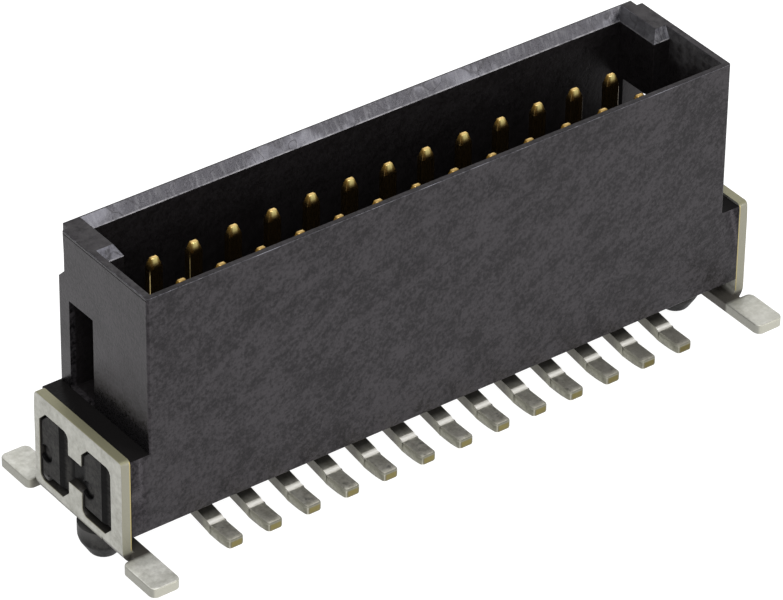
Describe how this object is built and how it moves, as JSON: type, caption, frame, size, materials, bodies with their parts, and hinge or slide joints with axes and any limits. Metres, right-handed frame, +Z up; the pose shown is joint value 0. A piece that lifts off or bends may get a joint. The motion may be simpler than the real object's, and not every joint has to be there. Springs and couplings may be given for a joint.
{
  "type": "connector strip",
  "caption": "Slim shrouded pin strip for surface mounting: open-topped housing over fine flat pins, gull-wing solder leads, folded end clips and locating pegs.",
  "frame": {"origin": "middle of the pin field and of the two locating pegs, level with the undersides of the solder feet, which is the top of the circuit board", "axes": "+X along the strip, +Y from the front row of contacts to the rear row (the side with the thick wall), +Z up from the board and out of the open shroud"},
  "size_m": [0.0214, 0.0074, 0.0092],
  "materials": {
    "housing": "moulded heat-resistant plastic, dark grey, with a fine grain",
    "contact": "gold over nickel on the pin and matte tin on the foot",
    "clip": "matte tin plating with bare cut edges"
  },
  "bodies": {
    "root": {"housing": "housing", "solder_clip_left": "clip", "solder_clip_right": "clip", "contact_front_01": "contact", "contact_front_02": "contact", "contact_front_03": "contact", "contact_front_04": "contact", "contact_front_05": "contact", "contact_front_06": "contact", "contact_front_07": "contact", "contact_front_08": "contact", "contact_front_09": "contact", "contact_front_10": "contact", "contact_front_11": "contact", "contact_front_12": "contact", "contact_front_13": "contact", "contact_rear_01": "contact", "contact_rear_02": "contact", "contact_rear_03": "contact", "contact_rear_04": "contact", "contact_rear_05": "contact", "contact_rear_06": "contact", "contact_rear_07": "contact", "contact_rear_08": "contact", "contact_rear_09": "contact", "contact_rear_10": "contact", "contact_rear_11": "contact", "contact_rear_12": "contact", "contact_rear_13": "contact"}
  },
  "joints": []
}
